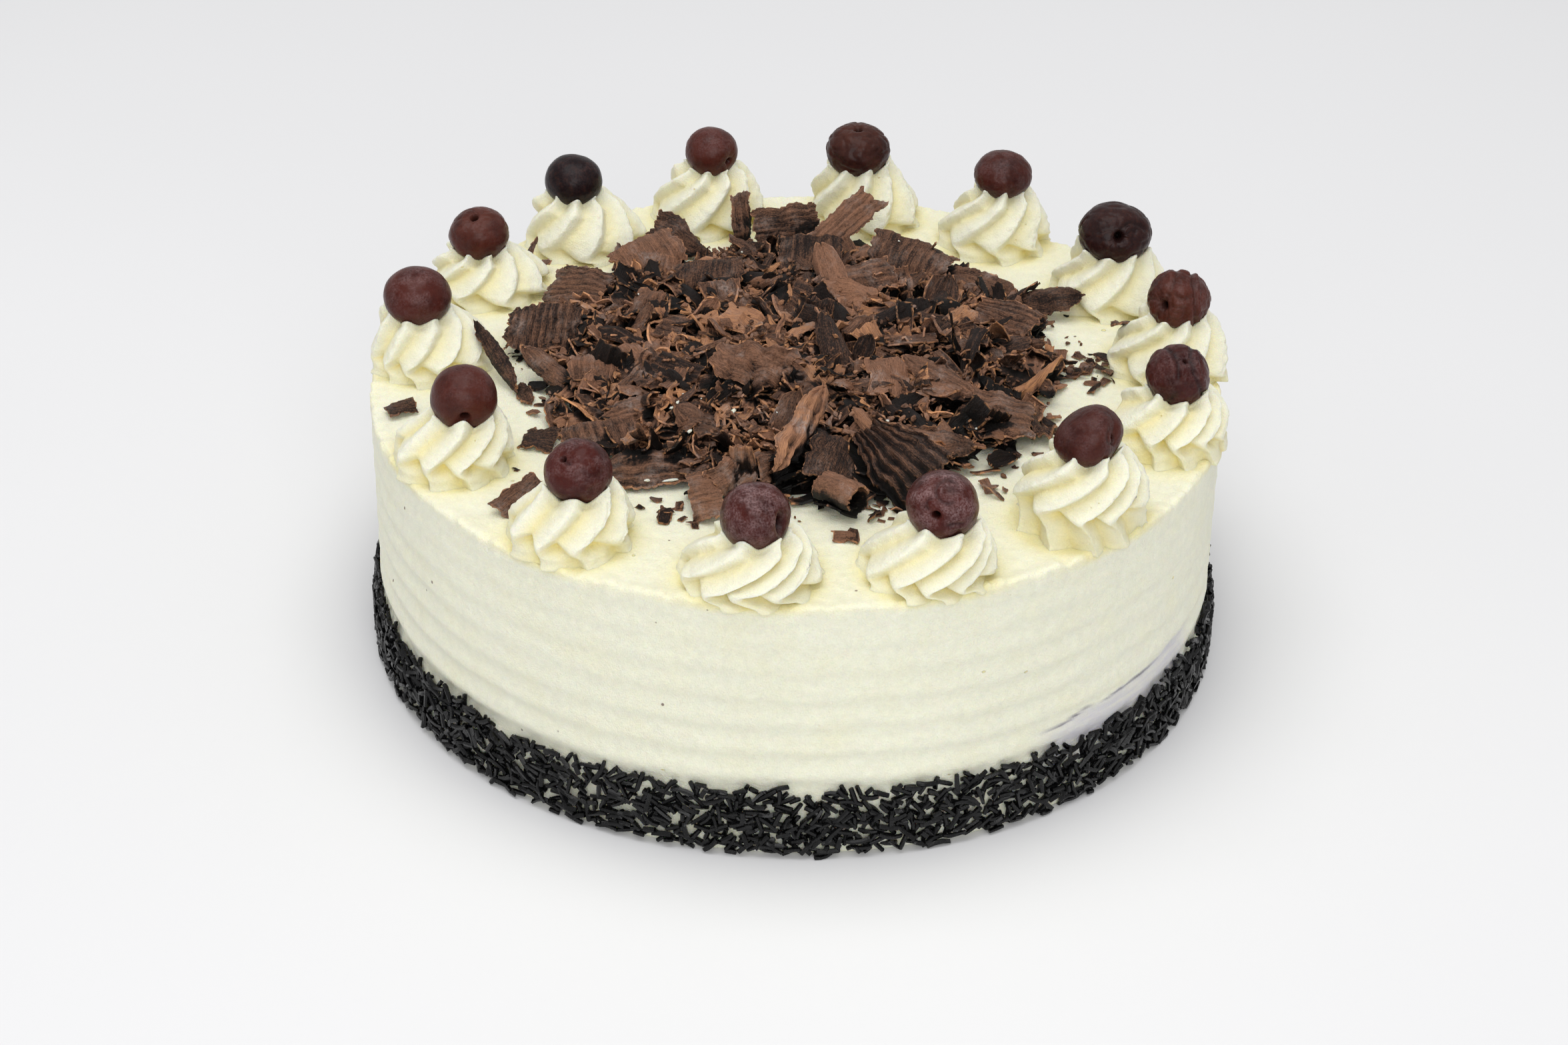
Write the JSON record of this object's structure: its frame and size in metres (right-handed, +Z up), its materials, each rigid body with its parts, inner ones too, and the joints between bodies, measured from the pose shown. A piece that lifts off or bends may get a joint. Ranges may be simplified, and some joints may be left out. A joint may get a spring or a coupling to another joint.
{
  "type": "black forest cake",
  "caption": "Round whipped cream cake with combed sides, a foot of dark sprinkles, a heap of chocolate shavings and a ring of piped rosettes topped with cherries.",
  "frame": {"origin": "middle of the flat base, which rests on its board or plate", "axes": "+Z up through the middle of the cake; -Y is the side that faces the viewer, +X to the viewer's right"},
  "size_m": [0.2343, 0.2337, 0.1051],
  "materials": {
    "whipped_cream": "soft satin whipped cream with faint comb bands",
    "piped_cream": "soft satin whipped cream, piped",
    "cherry_skin": "satin dark cherry with a pale bloom",
    "chocolate": "dark chocolate, matt ribbed faces and paler broken edges",
    "sprinkles": "near black sugar sprinkles, satin"
  },
  "bodies": {
    "root": {"cake_body": "whipped_cream", "chocolate_shavings": "chocolate", "rosette_01": "piped_cream", "rosette_02": "piped_cream", "rosette_03": "piped_cream", "rosette_04": "piped_cream", "rosette_05": "piped_cream", "rosette_06": "piped_cream", "rosette_07": "piped_cream", "rosette_08": "piped_cream", "rosette_09": "piped_cream", "rosette_10": "piped_cream", "rosette_11": "piped_cream", "rosette_12": "piped_cream", "rosette_13": "piped_cream", "rosette_14": "piped_cream", "cherry_01": "cherry_skin", "cherry_02": "cherry_skin", "cherry_03": "cherry_skin", "cherry_04": "cherry_skin", "cherry_05": "cherry_skin", "cherry_06": "cherry_skin", "cherry_07": "cherry_skin", "cherry_08": "cherry_skin", "cherry_09": "cherry_skin", "cherry_10": "cherry_skin", "cherry_11": "cherry_skin", "cherry_12": "cherry_skin", "cherry_13": "cherry_skin", "cherry_14": "cherry_skin"}
  },
  "joints": []
}
